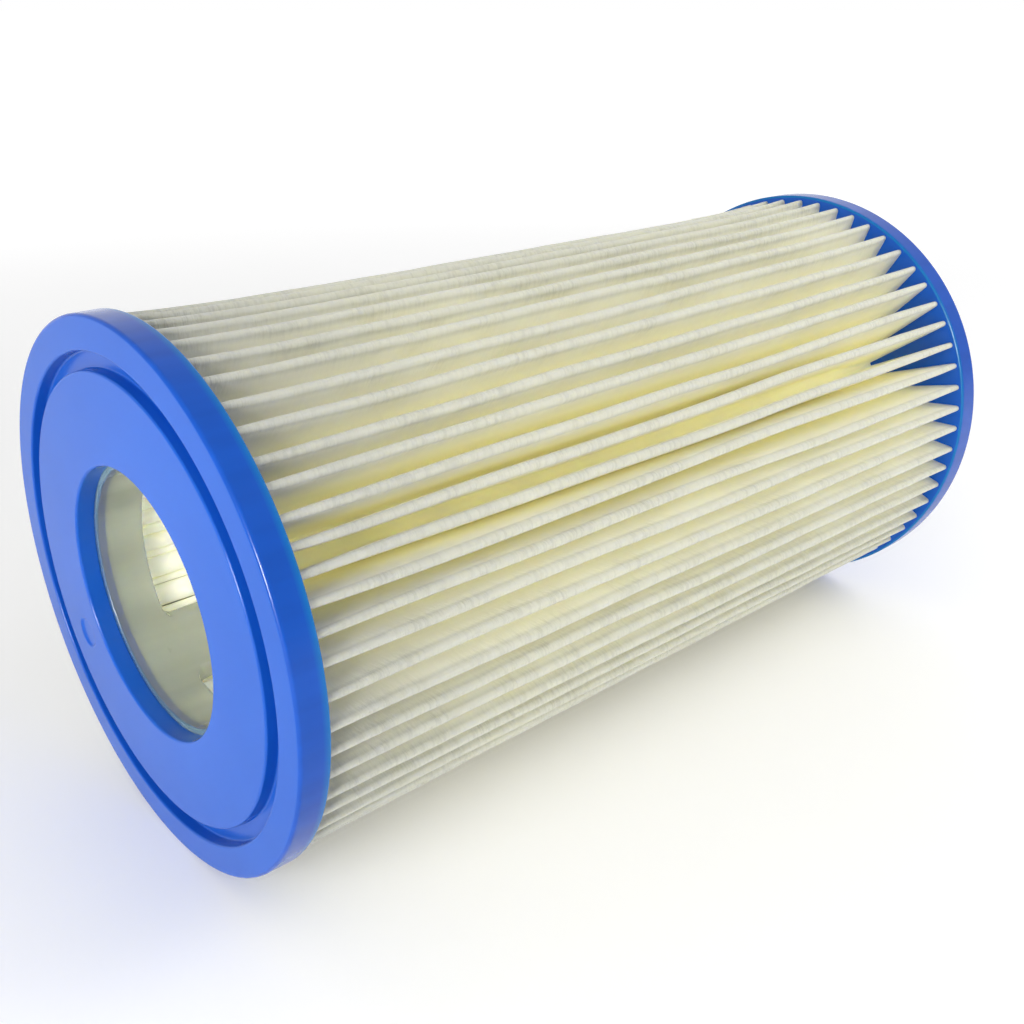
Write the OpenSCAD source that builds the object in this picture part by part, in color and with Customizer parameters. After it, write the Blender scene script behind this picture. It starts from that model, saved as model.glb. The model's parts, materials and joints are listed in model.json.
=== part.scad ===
// Pleated filter cartridge for an above-ground pool pump.
// It lies on its side: the axis runs along +Y from the front cap to the rear cap, +Z is up, and the
// origin is on the surface that it lies on, halfway along it.

/* [Overall] */
// Length over both caps
cartridge_len = 203; // [150:1:260]
// Diameter of the end caps
cap_d = 106; // [105:0.5:112]

/* [End caps] */
// Thickness of each cap
cap_t = 6; // [5:0.5:9]
// Diameter of the bore in each cap
bore_d = 52.6; // [51.6:0.2:53.6]
// Rounding of the outer rim of each cap
rim_round = 1.2; // [0.4:0.1:2]
// Rounding of the edge where the side of each cap meets its inner face
back_round = 0.5; // [0.2:0.1:1]
// Rounding of the mouth of the bore
bore_round = 0.5; // [0.2:0.1:0.8]
// Inner diameter of the groove in each face
groove_d = 86.6; // [78:0.2:90]
// Width of the groove
groove_w = 3.4; // [2:0.1:5]
// Depth of the groove
groove_depth = 2.5; // [1:0.1:2.5]
// Rounding of the edges of the groove
groove_round = 0.4; // [0.1:0.1:0.6]
// Depth to which the core and the pleats are cast into each cap
embed_t = 2.3; // [1:0.1:2.5]

/* [Mould mark] */
// Diameter of the shallow round mark in the front face
mark_d = 6; // [3:0.5:8]
// Depth of the mark
mark_depth = 0.4; // [0.2:0.1:0.8]
// Distance of the mark from the axis
mark_r = 34; // [31:0.5:38]
// Direction of the mark, in degrees from the top towards the right, seen from the front
mark_at = -122; // [-180:1:180]

/* [Core tube] */
// Inner diameter of the core tube
core_id = 50.4; // [48.6:0.2:50.8]
// Wall thickness of the core tube
core_wall = 2; // [1.6:0.1:2.2]
// Distance from the face of a cap to the nearest row of windows
band_len = 13.3; // [8:0.1:20]
// Rows of windows along the tube
window_rows = 9; // [3:1:12]
// Windows in each row
windows_per_row = 3; // [3:1:6]
// Width of the ribs between the windows of a row, in degrees
rib_angle = 28; // [15:0.5:40]
// Width of the rings between the rows
ring_w = 5; // [3:0.5:7]
// Corner radius of the windows
window_round = 2.2; // [0.5:0.1:3]
// Direction of one rib, in degrees from the top towards the right, seen from the front
rib_at = -143.4; // [-180:0.2:180]

/* [Pleated media] */
// Number of pleats
pleats = 60; // [40:1:64]
// Diameter over the outer folds
media_d = 104; // [98:0.5:104.5]
// Clearance between the core tube and the inner folds
media_gap = 0.3; // [0.1:0.1:1]
// Thickness of the sheet
sheet_t = 0.5; // [0.3:0.05:0.6]
// Inside radius of every fold
fold_r = 0.25; // [0.15:0.05:0.35]
// The pleat that holds the seam, counted from the top towards the right, seen from the front
seam_pleat = 37; // [0:1:39]
// Radial depth of the seam bead
seam_depth = 8; // [4:0.5:14]

/* [Hidden] */

cap_r = cap_d / 2;
bore_r = bore_d / 2;
groove_r = groove_d / 2;
core_ir = core_id / 2;
core_or = core_ir + core_wall;

// The core and the pleats run between two planes inside the caps, this far from each face
cast_in_at = cap_t - embed_t;
cast_in_len = cartridge_len - 2 * cast_in_at;

window_pitch = (cartridge_len - 2 * band_len + ring_w) / window_rows;
window_len = window_pitch - ring_w;
window_angle = 360 / windows_per_row - rib_angle;
window_w = 2 * core_ir * sin(window_angle / 2);

// The middle line of the sheet: arcs of one radius about centres on two circles, joined by straight legs
pitch_angle = 360 / pleats;
bend_r = fold_r + sheet_t / 2;
tip_r = media_d / 2 - fold_r - sheet_t;
root_r = core_or + media_gap + fold_r + sheet_t;
tip_to_root = polar(root_r, pitch_angle / 2) - polar(tip_r, 0);
leg_lean = atan2(tip_to_root.x, -tip_to_root.y) - asin(2 * bend_r / norm(tip_to_root));
fold_steps = 4;

// The seam: the sheet's two cut edges stand as high as the folds, and the bead stops short of them
seam_angle = seam_pleat * pitch_angle;
edge_proud = fold_r + sheet_t;
bead_proud = edge_proud - sheet_t;

corner_steps = 5;
true_round = 96;
overshoot = 1;

// A point across the axis, as seen from the front: angles run from the top towards the right
function polar(r, angle) = [r * sin(angle), r * cos(angle)];

function reversed(list) = [for (i = [len(list) - 1:-1:0]) list[i]];

// An arc about a fold's centre, from angle a0 to angle a1, both measured from the fold's own radius
function fold_arc(centre_r, angle, r, a0, a1) = [
    for (i = [0:fold_steps])
        polar(centre_r, angle) + polar(r, angle + a0 + (a1 - a0) * i / fold_steps)
];

function outer_fold(angle, offset) =
    fold_arc(tip_r, angle, bend_r + offset, leg_lean - 90, 90 - leg_lean);

function inner_fold(angle, offset) = let (turn = 90 - leg_lean - pitch_angle / 2)
    fold_arc(root_r, angle, bend_r - offset, 180 + turn, 180 - turn);

// A point on a leg of the seam pleat: side is 1 for the right leg and -1 for the left, offset is the
// distance from the middle line, and depth runs inwards from the fold's centre
function seam_leg(side, offset, depth) =
    polar(tip_r, seam_angle)
    + polar(bend_r + offset, seam_angle + side * (90 - leg_lean))
    - polar(depth, seam_angle - side * leg_lean);

// One face of the sheet, from cut edge to cut edge, offset outwards from the middle line
function sheet_face(offset) = concat(
    [seam_leg(1, offset, -edge_proud)],
    inner_fold(seam_angle + pitch_angle / 2, offset),
    [
        for (k = [1:pleats - 1])
            let (tip = seam_angle + k * pitch_angle)
            each concat(outer_fold(tip, offset), inner_fold(tip + pitch_angle / 2, offset))
    ],
    [seam_leg(-1, offset, -edge_proud)]
);

// Outline of a window as its side core sees it, x across and y along the axis
function rounded_rectangle(w, h, r) = [
    for (corner = [0:3], i = [0:corner_steps])
        let (
            middle = 90 * corner + 45,
            angle = 90 * (corner + i / corner_steps)
        )
        [
            sign(cos(middle)) * (w / 2 - r) + r * cos(angle),
            sign(sin(middle)) * (h / 2 - r) + r * sin(angle)
        ]
];

// Shapes are drawn standing on the rear face, and this lays them on their side
module laid() {
    translate([0, cartridge_len / 2, cap_r])
        rotate([90, 0, 0])
            children();
}

// What is cut away to round a convex corner whose material lies towards +x and +y
module corner_cut(r) {
    difference() {
        translate([-overshoot, -overshoot])
            square(r + overshoot);
        translate([r, r])
            circle(r, $fn = true_round);
    }
}

// Section of a cap: x is the distance from the axis and y the distance from its face
module cap_section() {
    difference() {
        translate([bore_r, 0])
            square([cap_r - bore_r, cap_t]);
        translate([groove_r, -overshoot])
            square([groove_w, groove_depth + overshoot]);
        translate([0, cast_in_at])
            square([core_or, embed_t + overshoot]);
        translate([bore_r, 0])
            corner_cut(bore_round);
        translate([groove_r + groove_w, 0])
            corner_cut(groove_round);
        translate([groove_r, 0])
            mirror([1, 0])
                corner_cut(groove_round);
        translate([cap_r, 0])
            mirror([1, 0])
                corner_cut(rim_round);
        translate([cap_r, cap_t])
            mirror([1, 0])
                mirror([0, 1])
                    corner_cut(back_round);
    }
}

module cap_blank() {
    rotate_extrude($fn = true_round)
        cap_section();
}

module mould_mark() {
    translate(concat(polar(mark_r, mark_at), [cartridge_len - mark_depth]))
        cylinder(h = mark_depth + overshoot, d = mark_d, $fn = true_round);
}

module window_cut() {
    rotate([-90, 0, 0])
        linear_extrude(core_or + overshoot)
            polygon(rounded_rectangle(window_w, window_len, window_round));
}

module sheet() {
    translate([0, 0, cast_in_at])
        linear_extrude(cast_in_len)
            polygon(concat(sheet_face(sheet_t / 2), reversed(sheet_face(-sheet_t / 2))));
}

// The bead between the two legs of the seam pleat. Its sides lie at an offset from the legs' middle
// lines: -sheet_t / 2 is on their surfaces, and 0 is halfway into them.
module seam_bead(offset) {
    translate([0, 0, cast_in_at])
        linear_extrude(cast_in_len)
            polygon([
                seam_leg(1, offset, -bead_proud),
                seam_leg(1, offset, seam_depth),
                seam_leg(-1, offset, seam_depth),
                seam_leg(-1, offset, -bead_proud)
            ]);
}

// What the ends of the sheet and of the bead take up in the caps
module pleat_pocket() {
    sheet();
    seam_bead(0);
}

module front_cap() {
    color("#4a83d6")
        laid()
            difference() {
                translate([0, 0, cartridge_len])
                    mirror([0, 0, 1])
                        cap_blank();
                mould_mark();
                pleat_pocket();
            }
}

module rear_cap() {
    color("#4a83d6")
        laid()
            difference() {
                cap_blank();
                pleat_pocket();
            }
}

module core_tube() {
    color("#c3c8b8")
        laid()
            difference() {
                translate([0, 0, cast_in_at])
                    cylinder(h = cast_in_len, r = core_or, $fn = true_round);
                cylinder(h = cartridge_len, r = core_ir, $fn = true_round);
                for (row = [0:window_rows - 1], side = [0:windows_per_row - 1])
                    translate([0, 0, band_len + window_len / 2 + row * window_pitch])
                        rotate([0, 0, -rib_at - (side + 0.5) * 360 / windows_per_row])
                            window_cut();
            }
}

module pleated_media() {
    color("#e3e2cb")
        laid()
            sheet();
}

module media_seam() {
    color("#d8d3ae")
        laid()
            seam_bead(-sheet_t / 2);
}

front_cap();
rear_cap();
core_tube();
pleated_media();
media_seam();
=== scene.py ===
import json
import math

import bmesh
import bpy
import numpy as np
from mathutils import Matrix, Vector

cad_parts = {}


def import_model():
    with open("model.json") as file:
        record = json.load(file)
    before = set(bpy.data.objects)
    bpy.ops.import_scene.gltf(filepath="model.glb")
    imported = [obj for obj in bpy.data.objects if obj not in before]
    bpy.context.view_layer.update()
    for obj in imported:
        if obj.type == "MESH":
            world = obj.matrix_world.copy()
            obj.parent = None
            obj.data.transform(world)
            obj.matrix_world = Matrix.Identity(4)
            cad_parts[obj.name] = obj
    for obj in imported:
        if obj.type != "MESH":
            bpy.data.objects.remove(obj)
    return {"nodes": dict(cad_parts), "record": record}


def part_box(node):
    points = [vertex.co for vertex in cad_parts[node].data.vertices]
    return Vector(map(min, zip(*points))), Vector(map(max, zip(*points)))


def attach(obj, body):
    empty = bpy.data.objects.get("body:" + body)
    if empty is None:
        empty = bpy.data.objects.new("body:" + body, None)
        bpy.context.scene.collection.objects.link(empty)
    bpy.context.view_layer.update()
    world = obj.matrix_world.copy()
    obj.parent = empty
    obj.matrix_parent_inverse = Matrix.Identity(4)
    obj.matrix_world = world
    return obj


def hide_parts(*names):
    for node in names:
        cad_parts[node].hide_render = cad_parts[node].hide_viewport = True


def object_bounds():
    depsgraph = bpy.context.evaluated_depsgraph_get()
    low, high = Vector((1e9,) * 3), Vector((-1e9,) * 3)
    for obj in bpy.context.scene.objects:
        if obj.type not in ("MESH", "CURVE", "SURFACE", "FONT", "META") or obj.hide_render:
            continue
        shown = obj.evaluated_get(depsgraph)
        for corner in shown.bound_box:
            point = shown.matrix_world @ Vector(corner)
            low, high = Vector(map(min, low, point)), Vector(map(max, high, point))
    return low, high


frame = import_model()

MM = 0.001
SEED = 7
random = np.random.default_rng(SEED)

# ------------------------------------------------------------ sizes from the frame
cad_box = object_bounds()
mounts = {mount["name"]: mount for mount in frame["record"]["mounts"]}
cap_low, cap_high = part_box("front_cap")
core_low, core_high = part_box("core_tube")
media_low, media_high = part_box("pleated_media")

AXIS_Z = mounts["front_bore"]["pos_m"][2]
CAP_R = cap_high.z - AXIS_Z
CAP_T = cap_high.y - cap_low.y
BORE_R = mounts["front_bore"]["dims"]["r_mm"] * MM
CORE_OR = core_high.z - AXIS_Z
CORE_IR = min(math.hypot(v.co.x, v.co.z - AXIS_Z) for v in frame["nodes"]["core_tube"].data.vertices)
MEDIA_R = media_high.z - AXIS_Z
CAST_IN_AT = media_low.y - cap_low.y
REAR_FACE_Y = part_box("rear_cap")[1].y


# ------------------------------------------------------------ mesh helpers
def across(r, degrees):
    """Points across the axis. Angles run from the top towards +X."""
    turn = np.radians(degrees)
    return np.stack([r * np.sin(turn), r * np.cos(turn)], -1)


def placed(flat, y):
    """Points (..., 2) across the axis and their places along it, as points of the row frame."""
    y = np.broadcast_to(y, flat.shape[:-1])
    return np.stack([flat[..., 0], y, flat[..., 1] + AXIS_Z], -1)


def grid_faces(rows, columns, first=0, close_rows=False, close_columns=False):
    """Quads of a grid of points that are stored row by row."""
    row = np.arange(rows if close_rows else rows - 1)[:, None]
    column = np.arange(columns if close_columns else columns - 1)[None, :]
    next_row, next_column = (row + 1) % rows, (column + 1) % columns
    quads = np.stack(
        [
            row * columns + column,
            row * columns + next_column,
            next_row * columns + next_column,
            next_row * columns + column,
        ],
        -1,
    )
    return (quads.reshape(-1, 4) + first).tolist()


def build(name, points, faces, material, sharp=None, depth=None):
    """A smooth-shaded mesh object. depth is a number for each point that the material reads."""
    mesh = bpy.data.meshes.new(name)
    mesh.from_pydata(np.asarray(points).reshape(-1, 3).tolist(), [], faces)
    mesh.validate()
    mesh.shade_smooth()
    if sharp is not None:
        mesh.set_sharp_from_angle(angle=math.radians(sharp))
    if depth is not None:
        layer = mesh.attributes.new("fold_depth", "FLOAT", "POINT")
        layer.data.foreach_set("value", np.asarray(depth, float).reshape(-1))
    mesh.materials.append(material)
    piece = bpy.data.objects.new(name, mesh)
    bpy.context.collection.objects.link(piece)
    return piece


def rounded_outline(corners, support=0.15 * MM):
    """A closed outline with an arc at each corner (x, y, radius, steps), and a point just before and
    after each arc that keeps the shading of the flat stretches flat."""
    out = []
    for i, (x, y, radius, steps) in enumerate(corners):
        here = np.array([x, y])
        to_last = np.array(corners[i - 1][:2]) - here
        to_next = np.array(corners[(i + 1) % len(corners)][:2]) - here
        to_last /= np.linalg.norm(to_last)
        to_next /= np.linalg.norm(to_next)
        half = math.acos(np.clip(to_last @ to_next, -1, 1)) / 2
        reach = radius / math.tan(half)
        middle = (to_last + to_next) / np.linalg.norm(to_last + to_next)
        centre = here + middle * radius / math.sin(half)
        start, end = here + to_last * reach, here + to_next * reach
        a0 = math.atan2(*(start - centre)[::-1])
        turn = math.atan2(*(end - centre)[::-1]) - a0
        turn = (turn + math.pi) % (2 * math.pi) - math.pi
        out.append(start + to_last * support)
        for step in range(steps + 1):
            a = a0 + turn * step / steps
            out.append(centre + radius * np.array([math.cos(a), math.sin(a)]))
        out.append(end + to_next * support)
    return np.array(out)


def smooth_step(x, low, high):
    t = np.clip((x - low) / (high - low), 0, 1)
    return t * t * (3 - 2 * t)


# ------------------------------------------------------------ the surroundings, which the floor runs into
# The direction in which they are brightest, and their brightness by how far a direction points that way.
# The floor glows more with distance, and away from the bright side it dims again to their level.
WORLD_BRIGHT = (-0.76, 0.65, 0.0)
WORLD_LEVELS = ((0.0, 0.55), (0.45, 0.6), (0.85, 1.0), (1.0, 1.0))
FLOOR_HALF = 40.0
FLOOR_GLOW_NEAR = 0.07
FLOOR_GLOW_FAR = 0.6
FLOOR_GLOW_REACH = 1.5
FLOOR_FADE_REACH = 3.0


# ------------------------------------------------------------ materials
class Look:
    """A node material under construction."""

    def __init__(self, name):
        self.material = bpy.data.materials.new(name)
        self.material.use_nodes = True
        self.tree = self.material.node_tree
        self.tree.nodes.clear()
        self.output = self.tree.nodes.new("ShaderNodeOutputMaterial")
        self.coords = self.node("TexCoord").outputs["Object"]

    def node(self, kind, inputs=(), **settings):
        made = self.tree.nodes.new("ShaderNode" + kind)
        for key, value in settings.items():
            setattr(made, key, value)
        for key, value in dict(inputs).items():
            self.set(made.inputs[key], value)
        return made

    def set(self, socket, value):
        if isinstance(value, bpy.types.NodeSocket):
            self.tree.links.new(value, socket)
        else:
            socket.default_value = value

    def math(self, operation, *values):
        made = self.node("Math", operation=operation)
        for i, value in enumerate(values):
            self.set(made.inputs[i], value)
        return made.outputs[0]

    def noise(self, scale, detail=2.0, roughness=0.5, vector=None, stretch=None):
        vector = vector or self.coords
        if stretch:
            vector = self.node("Mapping", {"Vector": vector, "Scale": stretch}).outputs[0]
        made = self.node(
            "TexNoise",
            {"Vector": vector, "Scale": scale, "Detail": detail, "Roughness": roughness},
        )
        return made.outputs["Fac"]

    def ramp(self, value, *stops):
        """stops are (position, colour or grey)."""
        made = self.node("ValToRGB", {"Fac": value})
        elements = made.color_ramp.elements
        while len(elements) < len(stops):
            elements.new(1)
        for element, (position, colour) in zip(elements, stops):
            element.position = position
            grey = isinstance(colour, (int, float))
            element.color = (colour,) * 3 + (1,) if grey else (*colour, 1)
        return made.outputs["Color"]

    def mix(self, factor, a, b, blend="MIX"):
        made = self.node("Mix", data_type="RGBA", blend_type=blend)
        for socket, value in ((0, factor), (6, a), (7, b)):
            if isinstance(value, tuple):
                value = (*value, 1)
            self.set(made.inputs[socket], value)
        return made.outputs[2]

    def bump(self, height, strength, distance, normal=None):
        inputs = {"Height": height, "Strength": strength, "Distance": distance}
        if normal:
            inputs["Normal"] = normal
        return self.node("Bump", inputs).outputs[0]

    def finish(self, shader):
        self.tree.links.new(shader, self.output.inputs["Surface"])
        return self.material


# A cap's two blues; the painted shade of its side, which stands for the dimmer light there; and the
# painted glow at the
# edge of its inner side: how far it reaches on the front cap, how many times narrower it is on the rear
# cap, and its colour
CAP_BLUES = ((0.006, 0.085, 0.44), (0.008, 0.095, 0.48))
CAP_SIDE_PAINTED_SHADE = (0.6, 0.84, 0.95)
CAP_EDGE_GLOW_REACH = 1.65 * MM
CAP_EDGE_GLOW_NARROWER = 2.5
CAP_EDGE_PAINTED_GLOW_BLUE = (0.004, 0.20, 0.44)


def cap_material():
    look = Look("cast_blue_plastic")
    xyz = look.node("SeparateXYZ", {"Vector": look.coords})
    from_middle = look.math("ABSOLUTE", xyz.outputs["Y"])
    # Painted glow: where the cap is thin over the white pleats, at the edge of its inner side, it is
    # painted paler, for light from the pleats that shows through
    inner_side = REAR_FACE_Y - CAP_T
    from_inner = look.math("DIVIDE", look.math("SUBTRACT", from_middle, inner_side), CAP_EDGE_GLOW_REACH)
    at_rear = look.math("GREATER_THAN", xyz.outputs["Y"], 0.0)
    narrow = look.math("MULTIPLY_ADD", at_rear, CAP_EDGE_GLOW_NARROWER - 1, 1.0)
    edge = look.ramp(look.math("MULTIPLY", from_inner, narrow), (0.0, 1.0), (1.0, 0.0))
    up = look.math("SUBTRACT", xyz.outputs["Z"], AXIS_Z)
    sideways_squared = look.math("POWER", xyz.outputs["X"], 2.0)
    from_axis = look.math("SQRT", look.math("MULTIPLY_ADD", up, up, sideways_squared))
    on_side = look.math("GREATER_THAN", from_axis, CAP_R - BACK_ROUND)
    edge = look.math("MULTIPLY", edge, on_side)
    cloud = look.noise(35, detail=3)
    blue = look.mix(look.ramp(cloud, (0.3, 0.0), (0.7, 1.0)), *CAP_BLUES)
    # Painted shade: the cap's side is painted darker than its face, for the dimmer light that falls on it
    blue = look.mix(on_side, blue, look.mix(1.0, blue, CAP_SIDE_PAINTED_SHADE, "MULTIPLY"))
    streaks = look.ramp(look.noise(260, detail=2, stretch=(1, 0.12, 1)), (0.35, 0.86), (0.65, 1.0))
    streaked = look.mix(1.0, blue, streaks, "MULTIPLY")
    blue = look.mix(look.math("MULTIPLY", on_side, 0.8), blue, streaked)
    # The painted glow at that edge, mixed towards a paler blue
    colour = look.mix(look.math("MULTIPLY", edge, 0.75), blue, CAP_EDGE_PAINTED_GLOW_BLUE)
    grain = look.noise(1400, detail=3)
    waves = look.noise(60, detail=1)
    normal = look.bump(grain, 0.06, 0.05 * MM, look.bump(waves, 0.12, 0.4 * MM))
    shader = look.node(
        "BsdfPrincipled",
        {
            "Base Color": colour,
            "Roughness": look.ramp(look.noise(220, detail=4), (0.3, 0.16), (0.7, 0.24)),
            "IOR": 1.5,
            "Specular IOR Level": 0.26,
            "Normal": normal,
            "Subsurface Weight": 0.12,
            "Subsurface Scale": 1.5 * MM,
            "Subsurface Radius": (0.3, 0.6, 1.0),
        },
    )
    return look.finish(shader.outputs[0])


# The core's two milky tones, and the blue at its ends where it meets a cap: partly blue resin on the end,
# partly painted light from the blue cap seen through the clear plastic
CORE_MILKS = ((0.70, 0.73, 0.665), (0.73, 0.76, 0.695))
CORE_TINGE = 0.45 * MM
CORE_END_RESIN_AND_SHOW_THROUGH_BLUE = (0.16, 0.46, 0.72)


def core_material():
    look = Look("milky_clear_plastic")
    cloud = look.noise(90, detail=4)
    colour = look.mix(look.ramp(cloud, (0.3, 0.0), (0.7, 1.0)), *CORE_MILKS)
    streaks = look.ramp(look.noise(110, detail=3, stretch=(1, 0.1, 1)), (0.38, 0.86), (0.6, 1.0))
    colour = look.mix(1.0, colour, streaks, "MULTIPLY")
    from_middle = look.math("ABSOLUTE", look.node("SeparateXYZ", {"Vector": look.coords}).outputs["Y"])
    # Near its ends the core is tinted blue: blue resin, and painted light from the blue cap showing
    # through
    past_band = look.math("SUBTRACT", from_middle, core_high.y - CORE_TINGE)
    resin_and_show_through = look.ramp(look.math("DIVIDE", past_band, CORE_TINGE), (0.0, 0.0), (0.6, 0.75))
    colour = look.mix(resin_and_show_through, colour, CORE_END_RESIN_AND_SHOW_THROUGH_BLUE)
    flow = look.noise(120, detail=1, stretch=(1, 0.2, 1))
    normal = look.bump(flow, 0.03, 0.1 * MM)
    shader = look.node(
        "BsdfPrincipled",
        {
            "Base Color": colour,
            "Roughness": look.ramp(look.noise(40), (0.3, 0.22), (0.7, 0.25)),
            "IOR": 1.49,
            "Transmission Weight": 0.8,
            "Subsurface Weight": 0.6,
            "Subsurface Scale": 2 * MM,
            "Subsurface Radius": (1.0, 1.0, 0.85),
            "Normal": normal,
        },
    )
    return look.finish(shader.outputs[0])


# The sheet's colour by the depth below the outer folds, as a share of the depth of a fold: painted light,
# darker on the outer folds and lighter deep in them, where shade falls. Near the front cap it has painted
# shade, and near both caps a painted glow stands for the light that comes through it.
MEDIA_PAINTED_LIGHT_BY_DEPTH = (
    (0.0, (0.655, 0.655, 0.56)),
    (0.012, (0.68, 0.68, 0.585)),
    (0.05, (0.85, 0.84, 0.71)),
    (0.3, (0.985, 0.97, 0.825)),
    (1.0, (0.99, 0.98, 0.82)),
)
FRONT_SHADE_TINT = (0.80, 0.81, 0.86)
FRONT_SHADE_REACH = 50 * MM
SHEET_GLOW_REACH = 45 * MM
SPECK_SCALE = 85
SPECK_SHARE = 0.985
SPECK_SIZE = 0.05
SPECK_COLOUR = (0.12, 0.11, 0.09)


def media_material():
    look = Look("nonwoven_polyester")
    depth = look.node("Attribute", attribute_name="fold_depth").outputs["Fac"]
    painted_light_by_depth = look.ramp(depth, *MEDIA_PAINTED_LIGHT_BY_DEPTH)
    along = look.node("SeparateXYZ", {"Vector": look.coords}).outputs["Y"]
    from_front = look.math("SUBTRACT", along, media_low.y)
    # Painted shade behind the front cap: greyer and slightly blue, most on the outer parts of the folds,
    # fading out 50 mm from the front
    front_shade = look.ramp(look.math("DIVIDE", from_front, FRONT_SHADE_REACH), (0.1, 0.95), (1.0, 0.0))
    front_shade = look.math("MULTIPLY", front_shade, look.ramp(depth, (0.1, 1.0), (0.4, 0.12)))
    painted_light_by_depth = look.mix(front_shade, painted_light_by_depth, look.mix(1.0, painted_light_by_depth, FRONT_SHADE_TINT, "MULTIPLY"))
    mottle = look.ramp(look.noise(160, detail=5, roughness=0.6), (0.35, 0.985), (0.65, 1.0))
    fibres = look.ramp(look.noise(2600, detail=3, roughness=0.7), (0.3, 0.985), (0.7, 1.0))
    colour = look.mix(1.0, look.mix(1.0, painted_light_by_depth, mottle, "MULTIPLY"), fibres, "MULTIPLY")
    speck_field = look.node("TexVoronoi", {"Vector": look.coords, "Scale": SPECK_SCALE})
    draw = look.node("SeparateColor", {"Color": speck_field.outputs["Color"]}).outputs[0]
    picked = look.math("GREATER_THAN", draw, SPECK_SHARE)
    speck = look.math("LESS_THAN", speck_field.outputs["Distance"], SPECK_SIZE)
    speck = look.math("MULTIPLY", speck, picked)
    colour = look.mix(look.math("MULTIPLY", speck, 0.75), colour, SPECK_COLOUR)
    # Creases run across the folds, and are strongest on the outer ones. Their hollows are painted darker:
    # painted shade
    near_tip = look.ramp(depth, (0.0, 1.0), (0.06, 0.55), (0.16, 0.12), (0.5, 0.04))
    patches = look.ramp(look.noise(75, detail=2), (0.35, 0.25), (0.62, 1.0))
    near_tip = look.math("MULTIPLY", near_tip, patches)
    creases = look.noise(1300, detail=3, roughness=0.6, stretch=(0.25, 1.0, 0.25))
    kinks = look.noise(330, detail=2, stretch=(0.4, 1.0, 0.4))
    crease_height = look.math("MULTIPLY", creases, near_tip)
    kink_height = look.math("MULTIPLY", kinks, near_tip)
    crease_shade = look.ramp(creases, (0.4, 0.86), (0.52, 1.0))
    crease_shaded = look.mix(1.0, colour, crease_shade, "MULTIPLY")
    colour = look.mix(look.math("MULTIPLY", near_tip, 0.8), colour, crease_shaded)
    # Painted glow: the sheet glows where the folds are deep, most near both caps, for the light that comes
    # through the thin sheet
    near_end = look.math("SUBTRACT", media_high.y, look.math("ABSOLUTE", along))
    through = look.math(
        "MULTIPLY",
        look.ramp(depth, (0.06, 0.0), (0.4, 0.018), (1.0, 0.03)),
        look.ramp(look.math("DIVIDE", near_end, SHEET_GLOW_REACH), (0.1, 1.0), (1.0, 0.15)),
    )
    fuzz = look.noise(3200, detail=4, roughness=0.75)
    normal = look.bump(kink_height, 1.0, 0.7 * MM)
    normal = look.bump(crease_height, 1.0, 0.35 * MM, normal)
    normal = look.bump(fuzz, 0.35, 0.05 * MM, normal)
    shader = look.node(
        "BsdfPrincipled",
        {
            "Base Color": colour,
            "Roughness": 0.6,
            "Specular IOR Level": 0.45,
            "Sheen Weight": 0.1,
            "Subsurface Weight": 1.0,
            "Subsurface Scale": 0.5 * MM,
            "Subsurface Radius": (1.0, 0.9, 0.55),
            # The painted glow's colour and strength
            "Emission Color": (1.0, 0.98, 0.86, 1.0),
            "Emission Strength": through,
            "Normal": normal,
        },
    )
    return look.finish(shader.outputs[0])


BEAD_AMBERS = ((0.62, 0.5, 0.22), (0.74, 0.64, 0.36))


def bead_material():
    look = Look("set_hot_melt")
    cloud = look.noise(240, detail=4)
    colour = look.mix(look.ramp(cloud, (0.3, 0.0), (0.7, 1.0)), *BEAD_AMBERS)
    shader = look.node(
        "BsdfPrincipled",
        {
            "Base Color": colour,
            "Roughness": look.ramp(look.noise(500), (0.3, 0.3), (0.7, 0.48)),
            "Subsurface Weight": 0.2,
            "Subsurface Scale": 1 * MM,
            "Normal": look.bump(look.noise(700, detail=4), 0.3, 0.1 * MM),
        },
    )
    return look.finish(shader.outputs[0])


def floor_material():
    look = Look("pale_floor")
    cloud = look.ramp(look.noise(3, detail=4), (0.3, (0.9, 0.9, 0.9)), (0.7, (0.93, 0.93, 0.93)))
    far = look.node("VectorMath", {0: look.coords}, operation="LENGTH").outputs["Value"]
    reach = look.math("DIVIDE", far, FLOOR_GLOW_REACH)
    glow = look.ramp(reach, (0.1, FLOOR_GLOW_NEAR), (0.7, FLOOR_GLOW_FAR))
    # Away from the bright side it fades with distance to the level of the surroundings
    direction = look.node("VectorMath", {0: look.coords}, operation="NORMALIZE").outputs["Vector"]
    dot = look.node("VectorMath", {0: direction, 1: WORLD_BRIGHT}, operation="DOT_PRODUCT")
    bright_side = look.ramp(dot.outputs["Value"], (0.0, 0.0), (0.6, 1.0))
    fade = look.ramp(look.math("DIVIDE", far, FLOOR_FADE_REACH), (0.2, 1.0), (1.0, 0.0))
    glow = look.math("MULTIPLY", glow, look.math("MAXIMUM", bright_side, fade))
    shader = look.node(
        "BsdfPrincipled",
        {
            "Base Color": cloud,
            "Roughness": 1.0,
            "Specular IOR Level": 0.0,
            "Emission Color": (1, 1, 1, 1),
            "Emission Strength": glow,
        },
    )
    return look.finish(shader.outputs[0])


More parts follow.
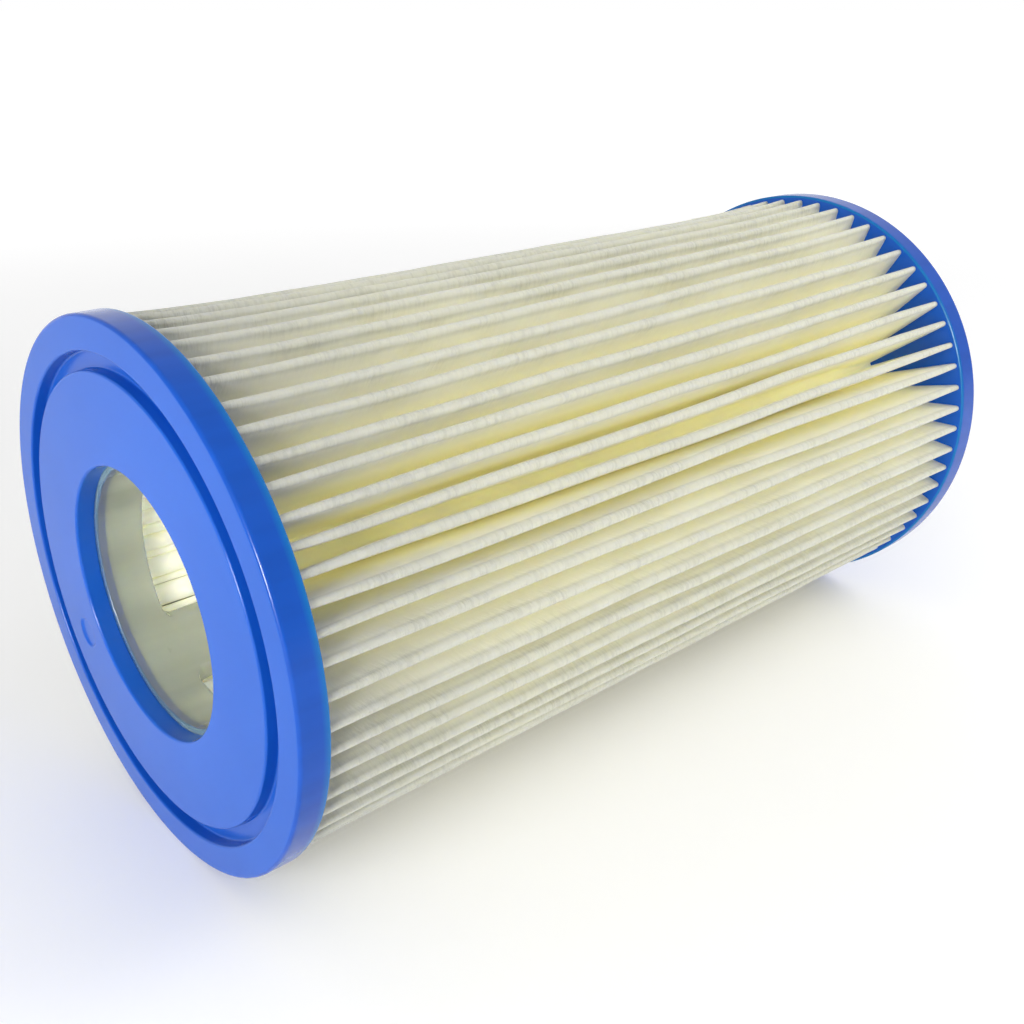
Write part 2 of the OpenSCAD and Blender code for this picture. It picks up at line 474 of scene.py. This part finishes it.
# ------------------------------------------------------------ end caps
GROOVE_R = 43.3 * MM
GROOVE_W = 3.4 * MM
GROOVE_DEPTH = 2.5 * MM
GROOVE_ROUND = 0.4 * MM
GROOVE_FOOT = 0.35 * MM
RIM_ROUND = 0.7 * MM
BACK_ROUND = 0.5 * MM
BORE_ROUND = 0.5 * MM
BORE_FOOT = 0.15 * MM
SEAT_BITE = 0.06 * MM
SEAT_ROUND = 0.2 * MM
SEAT_FOOT = 0.1 * MM
CAP_STEP = 1.5
ON_FACE = 0.01 * MM
MARK_R = 34 * MM
MARK_AT = -122
MARK_RADIUS = 3 * MM
MARK_DEPTH = 0.4 * MM
MARK_EDGE = 0.35 * MM
# The finer grid of points round the mark: half its angle, the half angle that is cleared for it, half its
# height, and its columns and rows
MARK_FAN = 6.3
MARK_FAN_CLEAR = 6.6
MARK_REACH = 3.7 * MM
MARK_COLUMNS = 37
MARK_ROWS = 38


def cap_outline(face_rows):
    """Section of a cap: distance from the axis, and distance inwards from its face. face_rows are extra
    distances from the axis at which the face has points."""
    seat_r = CORE_OR - SEAT_BITE
    outline = rounded_outline(
        [
            (BORE_R, CAST_IN_AT, BORE_FOOT, 3),
            (BORE_R, 0, BORE_ROUND, 5),
            (GROOVE_R, 0, GROOVE_ROUND, 5),
            (GROOVE_R, GROOVE_DEPTH, GROOVE_FOOT, 4),
            (GROOVE_R + GROOVE_W, GROOVE_DEPTH, GROOVE_FOOT, 4),
            (GROOVE_R + GROOVE_W, 0, GROOVE_ROUND, 5),
            (CAP_R, 0, RIM_ROUND, 8),
            (CAP_R, CAP_T, BACK_ROUND, 5),
            (seat_r, CAP_T, SEAT_ROUND, 3),
            (seat_r, CAST_IN_AT, SEAT_FOOT, 2),
        ]
    )
    extra = np.stack([face_rows, np.zeros_like(face_rows)], -1)
    before = np.flatnonzero((np.abs(outline[:, 1]) < 1e-9) & (outline[:, 0] < face_rows.min()))[-1]
    return np.concatenate([outline[: before + 1], extra, outline[before + 1 :]])


def cap(name, face_y, inwards, marked, material):
    """One end cap, turned from its section. inwards is the direction along Y from its face."""
    columns = np.arange(0, 360, CAP_STEP)
    if marked:
        fine = MARK_AT + np.linspace(-MARK_FAN, MARK_FAN, MARK_COLUMNS)
        kept = np.abs((columns - MARK_AT + 180) % 360 - 180) > MARK_FAN_CLEAR
        columns = np.sort(np.concatenate([columns[kept], fine % 360]))
        rows = MARK_R + np.linspace(-MARK_REACH, MARK_REACH, MARK_ROWS)
    else:
        rows = np.array([MARK_R])
    outline = cap_outline(rows)
    r, inset = outline[:, :1], np.repeat(outline[:, 1:], len(columns), 1)
    flat = across(r, columns[None, :])
    if marked:
        from_mark = np.linalg.norm(flat - across(MARK_R, MARK_AT), axis=-1)
        floor = 1 - smooth_step(from_mark, MARK_RADIUS - MARK_EDGE, MARK_RADIUS + MARK_EDGE)
        inset = inset + np.where(inset < ON_FACE, MARK_DEPTH * floor, 0)
    points = placed(flat, face_y + inwards * inset)
    faces = grid_faces(len(outline), len(columns), close_rows=True, close_columns=True)
    if inwards < 0:
        faces = [face[::-1] for face in faces]
    return build(name, points, faces, material)


# ------------------------------------------------------------ core tube
WINDOW_ROWS = 9
WINDOWS_PER_ROW = 3
BAND_LEN = 13.3 * MM
RING_W = 5 * MM
RIB_ANGLE = 28
RIB_AT = -143.4
WINDOW_ROUND = 2.2 * MM
CORE_BEVEL = 0.3 * MM
CELL_ANGLE = 360 / WINDOWS_PER_ROW
WINDOW_PITCH = (2 * REAR_FACE_Y - 2 * BAND_LEN + RING_W) / WINDOW_ROWS
WINDOW_LEN = WINDOW_PITCH - RING_W
WINDOW_W = 2 * CORE_IR * math.sin(math.radians(CELL_ANGLE - RIB_ANGLE) / 2)
LONG_STEPS = 16
SHORT_STEPS = 5
CORNER_STEPS = 5
CELL_RINGS = (0, 0.12, 0.5, 1)


def arc_centre(corner):
    """The centre of the arc at a corner of a window. Corner 0 is at +, +, and they run anticlockwise."""
    turn = math.radians(45 + 90 * corner)
    x = math.copysign(WINDOW_W / 2 - WINDOW_ROUND, math.cos(turn))
    y = math.copysign(WINDOW_LEN / 2 - WINDOW_ROUND, math.sin(turn))
    return np.array([x, y])


def window_outline():
    """A window as its side core cuts it, as points (across, along)."""
    window = []
    for corner in range(4):
        for step in range(CORNER_STEPS + 1):
            a = math.radians(90 * (corner + step / CORNER_STEPS))
            reach = WINDOW_ROUND * np.array([math.cos(a), math.sin(a)])
            window.append(arc_centre(corner) + reach)
        start, end = window[-1], arc_centre(corner + 1) + reach
        steps = LONG_STEPS if corner % 2 == 0 else SHORT_STEPS
        window += [start + (end - start) * step / steps for step in range(1, steps)]
    return np.array(window)


def cell_outline(window):
    """For each point of the window, the matching point on the edge of its cell, in shares of the
    cell's half width and half length."""
    half = np.array([WINDOW_W / 2, WINDOW_LEN / 2])
    corner = 1 - WINDOW_ROUND / half
    out = []
    for point in window:
        share = np.abs(point) / half
        past = np.maximum(share - corner, 0) * half
        far, near = (0, 1) if past[0] >= past[1] else (1, 0)
        if past[near] > 0:
            share[near] = corner[near] + (1 - corner[near]) * past[near] / past[far]
        share[far] = 1
        out.append(np.copysign(share, point))
    return np.array(out)


def core_wall(window, edge, r, middle, y):
    """One cell of one wall of the core: rings of points from the window's edge to the cell's edge."""
    half = CELL_ANGLE / 2
    window_angle = np.degrees(np.arcsin(window[:, 0] / r))
    rings = []
    for share in CELL_RINGS:
        angle = window_angle + (edge[:, 0] * half - window_angle) * share
        along = window[:, 1] + (edge[:, 1] * WINDOW_PITCH / 2 - window[:, 1]) * share
        rings.append(placed(across(r, middle + angle), y + along))
    return rings


def core_cage(material):
    """The core tube: a cell for each window, and a plain band at each end, all welded together."""
    window = window_outline()
    edge = cell_outline(window)
    count = len(window)
    points, faces = [], []
    y0 = core_low.y + (BAND_LEN - CAST_IN_AT) + WINDOW_LEN / 2
    for row in range(WINDOW_ROWS):
        for side in range(WINDOWS_PER_ROW):
            middle = RIB_AT + (side + 0.5) * CELL_ANGLE
            y = y0 + row * WINDOW_PITCH
            inner = core_wall(window, edge, CORE_IR, middle, y)
            outer = core_wall(window, edge, CORE_OR, middle, y)
            rings = np.array(inner[::-1] + outer)
            faces += grid_faces(len(rings), count, sum(map(len, points)), close_columns=True)
            points.append(rings.reshape(-1, 3))
    # The bands reach from the outer rows' cells to the tube's ends
    cell_angles = np.unique(np.round(edge[np.abs(edge[:, 1]) > 1 - 1e-9, 0], 6)) * CELL_ANGLE / 2
    angles = np.concatenate(
        [RIB_AT + (side + 0.5) * CELL_ANGLE + cell_angles[:-1] for side in range(WINDOWS_PER_ROW)]
    )
    for end, sign in ((core_low.y, -1), (core_high.y, 1)):
        start = sign * (WINDOW_ROWS / 2) * WINDOW_PITCH
        loops = [(CORE_IR, start), (CORE_IR, (start + end) / 2), (CORE_IR, end)]
        loops += [(CORE_OR, end), (CORE_OR, (start + end) / 2), (CORE_OR, start)]
        band = np.array([placed(across(r, angles), y) for r, y in loops])
        made = grid_faces(len(loops), len(angles), sum(map(len, points)), close_columns=True)
        faces += made if sign > 0 else [face[::-1] for face in made]
        points.append(band.reshape(-1, 3))
    core = build("core_cage", np.concatenate(points), faces, material)
    weld(core, 0.02 * MM)
    bevel = core.modifiers.new("edges", "BEVEL")
    bevel.width, bevel.segments = CORE_BEVEL, 3
    bevel.limit_method, bevel.angle_limit = "ANGLE", math.radians(50)
    bevel.harden_normals = True
    return core


def weld(piece, distance):
    """Joins points that lie on each other, and turns all faces outwards."""
    work = bmesh.new()
    work.from_mesh(piece.data)
    bmesh.ops.remove_doubles(work, verts=work.verts, dist=distance)
    bmesh.ops.recalc_face_normals(work, faces=work.faces)
    work.to_mesh(piece.data)
    work.free()


# ------------------------------------------------------------ pleated media
PLEATS = 60
PITCH = 360 / PLEATS
SHEET_T = 0.5 * MM
SEAM_PLEAT = 37
PACK_TURN = -2.4
# The bend of an outer fold, from its centre to the sheet's middle line, at the caps and between them, and
# how fast it opens out
FOLD_END = 0.42 * MM
FOLD_MID = 0.77 * MM
FOLD_GROWS = 17 * MM
# Inner folds: the sum of a pair's bends, the first one's share, how flat they are against the core, how
# far the narrow one stands back, how much they tighten at the rear cap, and their gap to the core
ROOT_BENDS = 2.4 * MM
ROOT_SHARE = (0.54, 0.86)
ROOT_FLAT = 0.55
ROOT_RECESS = 0.6
ROOT_TIGHTENS = 0.8
ROOT_GROWS = 14 * MM
ROOT_GAP = 0.3 * MM
# How far the legs bulge, and how much that differs from leg to leg
BOW = 0.42 * MM
BOW_SPREAD = (0.7, 1.3)
# The seam: how far the cut edges stand out past the fold's centre, and the depth of the bead
EDGE_PROUD = 0.75 * MM
SEAM_DEPTH = 8 * MM
# The bead's section: distances inwards from the seam pleat's outer fold, and shares of the full width
BEAD_LEVELS = ((-0.35 * MM, 0.5), (-0.2 * MM, 0.9), (0.3 * MM, 1), (SEAM_DEPTH / 2, 1), (SEAM_DEPTH, 0.9))
BEAD_FILL = 1.06
# The lean of the outer folds, in degrees: where it changes sides, its size there, and how fast it grows
LEAN_MIDDLE = 60.6
LEAN_TURN = 2.85
LEAN_SHIFT = 1.25
LEAN_STEEP = 2.9
LEAN_STEEPER = 1.5
# What differs at random from fold to fold: its angle at the front and the rear, and its crinkles
FRONT_SPREAD = 0.33
REAR_SPREAD = 0.2
CRINKLE = 0.022 * MM
# How far the outer folds are drawn in between the caps, all round and at the top
DRAWN_IN = 0.18 * MM
TOP_DIP = 1.3 * MM
TOP_DIP_AT = -33
# Slow random waves along the sheet: their size and the longest of them, and the bead's number of waves
TIP_TURNS = (0.22, 190 * MM)
TIP_SWELLS = (0.08, 120 * MM)
TIP_SINKS = (0.12 * MM, 150 * MM)
ROOT_LIFTS = (0.1 * MM, 120 * MM)
ROOT_TURNS = (0.12, 150 * MM)
BEAD_LUMPS = (0.25, 60 * MM, 6)
# Points along the sheet, how evenly they are spread, and points round each fold and leg
OUTER_STATIONS = 73
STATION_EVEN = 0.45
STATION_EASE = 0.42
INNER_EVERY = 3
TIP_STEPS = 6
LEG_STEPS = 3
ROOT_STEPS = 5


def stations():
    """Places along the sheet, closer together towards its ends."""
    t = np.linspace(-1, 1, OUTER_STATIONS)
    eased = np.sin(t * STATION_EASE * math.pi) / math.sin(STATION_EASE * math.pi)
    return media_high.y * (STATION_EVEN * t + (1 - STATION_EVEN) * eased)


def wobble(y, amount, longest, waves=4):
    """A slow random curve along the sheet."""
    out = np.zeros_like(y)
    for wave in range(1, waves + 1):
        phase, size = random.uniform(0, 2 * math.pi), random.normal() / wave
        out += size * np.sin(2 * math.pi * y * wave / longest + phase)
    return amount * out


def lean(angle, y):
    """How far an outer fold leans round the axis, in degrees: most at the front, none at the rear."""
    turn = math.radians(angle - LEAN_MIDDLE)
    steep = LEAN_STEEP + LEAN_STEEPER * math.cos(turn)
    full = LEAN_SHIFT - LEAN_TURN * math.tanh(steep * math.sin(turn))
    return full * (0.5 - y / (2 * media_high.y))


def inner_folds():
    """The bend, height over the core and turn of each inner fold. They press on the core in pairs, in
    which a wide one pushes its narrow neighbour back."""
    bends, lifts, turns = np.zeros((3, PLEATS))
    for first in range(1, PLEATS, 2):
        second = (first + 1) % PLEATS
        share = random.uniform(*ROOT_SHARE)
        bends[first], bends[second] = ROOT_BENDS * share, ROOT_BENDS * (1 - share)
        lifts[second] = ROOT_RECESS * (bends[first] - bends[second])
        turns[[first, second]] = PITCH * (share - 0.5)
    return bends, lifts + ROOT_FLAT * bends, turns


def fold_lines(y):
    """For each pleat: its outer fold's centre and bend, and the centre and bend of the inner fold after
    it. Also how far the folds have opened out, from 0 at a cap to 1."""
    from_cap = np.clip(media_high.y - (CAP_T - CAST_IN_AT) - np.abs(y), 0, None)
    root_bends, root_lifts, root_turns = inner_folds()
    root_bends = root_bends[:, None] * (1 - ROOT_TIGHTENS * np.exp((y - media_high.y) / ROOT_GROWS))
    opened = 1 - np.exp(-from_cap / FOLD_GROWS)
    tips, bends, roots = [], [], []
    for k in range(PLEATS):
        nominal = (SEAM_PLEAT + k) * PITCH + PACK_TURN
        front, rear = random.normal(0, FRONT_SPREAD), random.normal(0, REAR_SPREAD)
        along = y / (2 * media_high.y) + 0.5
        angle = nominal + lean(nominal, y) + front * (1 - along) + rear * along
        angle = angle + opened * wobble(y, *TIP_TURNS)
        crinkle = random.normal(0, CRINKLE, len(y)) * opened
        swell = (FOLD_MID - FOLD_END) * opened * (1 + wobble(y, *TIP_SWELLS))
        bend = FOLD_END + (0 if k == 0 else 1) * swell
        dip = TOP_DIP * max(0, math.cos(math.radians(nominal - TOP_DIP_AT))) * opened
        sunk = opened * (DRAWN_IN + np.abs(wobble(y, *TIP_SINKS)))
        outer_r = MEDIA_R - dip - sunk + crinkle
        tips.append(across(outer_r - bend - SHEET_T / 2, angle))
        bends.append(bend)
        lift = root_lifts[k] + np.abs(wobble(y, *ROOT_LIFTS))
        root_angle = nominal + PITCH / 2 + root_turns[k] + wobble(y, *ROOT_TURNS)
        roots.append(across(CORE_OR + ROOT_GAP + SHEET_T / 2 + lift, root_angle))
    return tips, bends, roots, root_bends, opened


def heading(vector):
    """The direction of a vector across the axis, in radians from the top towards +X."""
    return np.arctan2(vector[..., 0], vector[..., 1])


def compass(angle):
    """The unit vector across the axis with this heading."""
    return np.stack([np.sin(angle), np.cos(angle)], -1)


def wrapped(angle):
    """The angle within half a turn of zero."""
    return (angle + math.pi) % (2 * math.pi) - math.pi


def legs(tip, tip_bend, root, root_bend, side):
    """The direction in which the sheet's outer side faces on a leg: 1 is the right leg, -1 the left."""
    run = root - tip
    reach = np.linalg.norm(run, axis=-1)
    return heading(run) - side * np.arccos((tip_bend + root_bend) / reach)


def sheet_columns(y):
    """The sheet's middle line at each station, from cut edge to cut edge: its points across the axis, the
    headings of its outer side, and the depths below the outer folds. Also the seam pleat's outer fold, its
    bend, and the headings of its right and left legs."""
    tips, bends, roots, root_bends, opened = fold_lines(y)
    points, facings, depths = [], [], []

    def add(point, facing, depth):
        """Adds one point of the middle line at every station."""
        points.append(point)
        facings.append(facing)
        depths.append(np.broadcast_to(depth, y.shape))

    def leg(k, root, facing, side, shares):
        """Adds the points of a leg that lie at these shares of the way from its outer fold."""
        start = tips[k] + bends[k][:, None] * compass(facing)
        end = roots[root] - root_bends[root][:, None] * compass(facing)
        bow = BOW * opened * bow_share[k, side]
        for share in shares:
            swell = (bow * 4 * share * (1 - share))[:, None] * compass(facing)
            add(start + (end - start) * share + swell, facing, share)

    inner_shares = [step / LEG_STEPS for step in range(1, LEG_STEPS)]
    bow_share = random.uniform(*BOW_SPREAD, (PLEATS, 2))
    bow_share[0] = 0
    right = [legs(tips[k], bends[k], roots[k], root_bends[k], 1) for k in range(PLEATS)]
    left = [legs(tips[k], bends[k], roots[k - 1], root_bends[k - 1], -1) for k in range(PLEATS)]
    for k in range(PLEATS):
        after = (k + 1) % PLEATS
        contact = tips[k] + bends[k][:, None] * compass(right[k])
        if k == 0:
            outwards = compass(right[k] - math.pi / 2)
            add(contact + EDGE_PROUD * outwards, right[k], 0)
            add(contact, right[k], 0)
        else:
            angle = heading(tips[k])
            a0, a1 = wrapped(left[k] - angle), wrapped(right[k] - angle)
            for step in range(TIP_STEPS + 1):
                a = angle + a0 + (a1 - a0) * step / TIP_STEPS
                add(tips[k] + bends[k][:, None] * compass(a), a, 0)
        leg(k, k, right[k], 0, inner_shares)
        inwards = heading(roots[k]) + math.pi
        b0 = wrapped(right[k] + math.pi - inwards)
        b1 = wrapped(left[after] + math.pi - inwards)
        for step in range(ROOT_STEPS + 1):
            b = b0 + (b1 - b0) * step / ROOT_STEPS
            flat = np.where(np.cos(b) > 0, ROOT_FLAT, 1)
            ahead, aside = np.cos(b) * flat * root_bends[k], np.sin(b) * root_bends[k]
            spot = ahead[:, None] * compass(inwards) + aside[:, None] * compass(inwards + math.pi / 2)
            add(roots[k] + spot, inwards + np.arctan2(np.sin(b) * flat, np.cos(b)) + math.pi, 1)
        leg(after, k, left[after], 1, inner_shares[::-1])
    contact = tips[0] + bends[0][:, None] * compass(left[0])
    add(contact, left[0], 0)
    add(contact + EDGE_PROUD * compass(left[0] + math.pi / 2), left[0], 0)
    seam = (tips[0], bends[0], right[0], left[0])
    return np.stack(points, 1), np.stack(facings, 1), np.stack(depths, 1), seam


def folded_media(material):
    """The folded sheet, its developed width, its stations and its seam. Its inner side has a row of points
    for every INNER_EVERY rows of its outer side."""
    y = stations()
    middle, facing, depth, seam = sheet_columns(y)
    columns = middle.shape[1]
    outer = placed(middle + compass(facing) * SHEET_T / 2, y[:, None])
    inner = placed(middle - compass(facing) * SHEET_T / 2, y[:, None])[::INNER_EVERY]
    first_inner = outer.shape[0] * columns
    inner_rows = inner.shape[0]
    faces = grid_faces(outer.shape[0], columns)
    faces += [face[::-1] for face in grid_faces(inner_rows, columns, first_inner)]
    for column, flip in ((0, True), (columns - 1, False)):
        for row in range(inner_rows - 1):
            strip = [(row * INNER_EVERY + i) * columns + column for i in range(INNER_EVERY + 1)]
            strip += [first_inner + (row + 1) * columns + column, first_inner + row * columns + column]
            faces.append(strip[::-1] if flip else strip)
    last_outer, last_inner = (outer.shape[0] - 1) * columns, first_inner + (inner_rows - 1) * columns
    for c in range(columns - 1):
        faces.append([c + 1, c, first_inner + c, first_inner + c + 1])
        faces.append([last_outer + c, last_outer + c + 1, last_inner + c + 1, last_inner + c])
    points = np.concatenate([outer.reshape(-1, 3), inner.reshape(-1, 3)])
    depths = np.concatenate([depth.reshape(-1), depth[::INNER_EVERY].reshape(-1)])
    media = build("folded_media", points, faces, material, sharp=70, depth=depths)
    run = np.linalg.norm(np.diff(middle, axis=1), axis=-1).sum(1).mean()
    return media, float(run), y, seam


def seam_bead(y, seam, material):
    """The bead of set adhesive between the two legs of the seam pleat."""
    tip, bend, right, left = seam
    fill = (bend - SHEET_T / 2) * BEAD_FILL
    lump = 1 + np.abs(wobble(y, *BEAD_LUMPS))
    up = compass(right + wrapped(left - right) / 2)
    up = up * np.sign((up * tip).sum(-1, keepdims=True))
    sides = []
    for direction in (right, left):
        side = []
        for level, width in BEAD_LEVELS:
            depth = level * (lump if level < 0 or level == SEAM_DEPTH else 1)
            depth = np.broadcast_to(depth, y.shape)[:, None]
            side.append(tip - up * depth + compass(direction) * (fill * width)[:, None])
        sides.append(side)
    ring = np.stack(sides[0] + sides[1][::-1], 1)
    points = placed(ring, y[:, None])
    rows, columns = ring.shape[:2]
    faces = grid_faces(rows, columns, close_columns=True)
    faces.append(list(range(columns)))
    faces.append([(rows - 1) * columns + c for c in reversed(range(columns))])
    bead = build("seam_bead", points, faces, material, sharp=60)
    weld(bead, 0.0)
    return bead


# ------------------------------------------------------------ making and placing the pieces
cap_look = cap_material()
front = cap("front_cap_cast", cap_low.y, 1, True, cap_look)
rear = cap("rear_cap_cast", REAR_FACE_Y, -1, False, cap_look)
core = core_cage(core_material())
media, developed, along, seam_place = folded_media(media_material())
bead = seam_bead(along, seam_place, bead_material())

for piece, node, slot in (
    (front, "front_cap", "cap"),
    (rear, "rear_cap", "cap"),
    (core, "core_tube", "core"),
    (media, "pleated_media", "media"),
    (bead, "media_seam", "seam"),
):
    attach(piece, "root")
    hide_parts(node)

# ------------------------------------------------------------ floor, light and camera
def floor():
    corners = ((-1, -1), (1, -1), (1, 1), (-1, 1))
    points = [(x * FLOOR_HALF, y * FLOOR_HALF, cad_box[0].z) for x, y in corners]
    plane = build("floor", points, [(0, 1, 2, 3)], floor_material())


def world():
    """Pale surroundings, brightest behind the object and dim on its right."""
    made = bpy.data.worlds.new("studio")
    bpy.context.scene.world = made
    made.use_nodes = True
    nodes, links = made.node_tree.nodes, made.node_tree.links
    nodes.clear()
    coords = nodes.new("ShaderNodeTexCoord")
    towards = nodes.new("ShaderNodeVectorMath")
    towards.operation = "DOT_PRODUCT"
    towards.inputs[1].default_value = Vector(WORLD_BRIGHT).normalized()
    links.new(coords.outputs["Generated"], towards.inputs[0])
    ramp = nodes.new("ShaderNodeValToRGB")
    links.new(towards.outputs["Value"], ramp.inputs[0])
    elements = ramp.color_ramp.elements
    while len(elements) < len(WORLD_LEVELS):
        elements.new(1)
    for element, (position, level) in zip(elements, WORLD_LEVELS):
        element.position = position
        element.color = (level, level, level, 1)
    back = nodes.new("ShaderNodeBackground")
    links.new(ramp.outputs[0], back.inputs["Color"])
    out = nodes.new("ShaderNodeOutputWorld")
    links.new(back.outputs[0], out.inputs[0])


def aimed(place, target):
    back = (Vector(place) - Vector(target)).normalized()
    return back.to_track_quat("Z", "Y").to_matrix().to_4x4()


def soft_sun(name, towards, strength, angle, mirrored=True):
    lamp = bpy.data.lights.new(name, "SUN")
    lamp.energy, lamp.angle = strength, math.radians(angle)
    holder = bpy.data.objects.new(name, lamp)
    holder.matrix_world = aimed(towards, (0, 0, 0))
    holder.visible_glossy = mirrored
    bpy.context.collection.objects.link(holder)


def soft_box(name, place, target, size, power, mirrored=True, lights=True):
    lamp = bpy.data.lights.new(name, "AREA")
    lamp.shape, lamp.size, lamp.size_y, lamp.energy = "RECTANGLE", size[0], size[1], power
    holder = bpy.data.objects.new(name, lamp)
    holder.matrix_world = Matrix.Translation(place) @ aimed(place, target)
    holder.visible_glossy, holder.visible_diffuse = mirrored, lights
    bpy.context.collection.objects.link(holder)


def bore_spot(name, place, target, cone, power):
    lamp = bpy.data.lights.new(name, "SPOT")
    lamp.energy, lamp.spot_size, lamp.spot_blend = power, math.radians(cone), 0.3
    lamp.shadow_soft_size = 0.03
    holder = bpy.data.objects.new(name, lamp)
    holder.matrix_world = Matrix.Translation(place) @ aimed(place, target)
    holder.visible_glossy = False
    bpy.context.collection.objects.link(holder)


def inner_glow(name, y, power):
    """Light that has come in through the bore, and shines through the thin sheet."""
    lamp = bpy.data.lights.new(name, "POINT")
    lamp.energy, lamp.shadow_soft_size = power, 0.012
    holder = bpy.data.objects.new(name, lamp)
    holder.location = (0, y, AXIS_Z)
    holder.visible_glossy = False
    bpy.context.collection.objects.link(holder)


GLOW_SHARES = (-0.7, -0.35, 0.0, 0.35, 0.7)
GLOW_POWER = 0.0056
LIGHT_BOUNCES = 40

CAMERA_PLACE = Vector((173.9, -171.4, 151.2)) * MM
VIEW_AZIMUTH = 49.34
VIEW_ELEVATION = 26.09
CAMERA_LENS = 39.12
CAMERA_SENSOR = 36
CAMERA_SHIFT = (0.0406, 0.0386)
CAMERA_CLIP = (0.01, 200)


def camera():
    data = bpy.data.cameras.new("camera")
    data.sensor_width, data.lens = CAMERA_SENSOR, CAMERA_LENS
    data.shift_x, data.shift_y = CAMERA_SHIFT
    data.clip_start, data.clip_end = CAMERA_CLIP
    holder = bpy.data.objects.new("camera", data)
    turn, rise = math.radians(VIEW_AZIMUTH), math.radians(VIEW_ELEVATION)
    back = Vector((math.sin(turn) * math.cos(rise), -math.cos(turn) * math.cos(rise), math.sin(rise)))
    holder.matrix_world = Matrix.Translation(CAMERA_PLACE) @ aimed(back, (0, 0, 0))
    bpy.context.collection.objects.link(holder)
    bpy.context.scene.camera = holder


floor()
world()
# The key light, and two bright shapes for the front cap to mirror
soft_sun("key", towards=(0.50, -0.81, 0.285), strength=0.14, angle=25)
soft_box("window", place=(0.50, -0.81, 0.335), target=(0.0, 0.0, 0.05), size=(0.06, 0.12), power=1.0)
soft_box(
    "glint",
    place=(0.52, -1.18, 0.284),
    target=(0.046, -0.101, 0.08),
    size=(0.2, 0.26),
    power=18.0,
    lights=False,
)
# Soft fill from the right, from behind and from the front, which no reflection shows
soft_sun("right", towards=(0.75, 0.45, 0.46), strength=0.06, angle=50, mirrored=False)
soft_box(
    "rear_right",
    place=(0.24, 0.3, 0.34),
    target=(0.03, 0.1, 0.06),
    size=(0.3, 0.3),
    power=0.9,
    mirrored=False,
)
soft_box(
    "front",
    place=(0.16, -0.45, 0.17),
    target=(-0.01, -0.05, 0.05),
    size=(0.25, 0.25),
    power=1.2,
    mirrored=False,
)
# Light into the bore, and the light that then shines out through the core and the sheet
bore_spot("bore", place=(0.16, -0.45, 0.15), target=(-0.02, -0.06, 0.045), cone=8.6, power=3.6)
for number, share in enumerate(GLOW_SHARES):
    inner_glow("inside_%d" % number, share * REAR_FACE_Y, GLOW_POWER)
camera()
scene = bpy.context.scene
scene.view_settings.view_transform = "Standard"
scene.cycles.max_bounces = LIGHT_BOUNCES
scene.cycles.diffuse_bounces = LIGHT_BOUNCES

print("developed width of the sheet, m:", round(developed, 4))
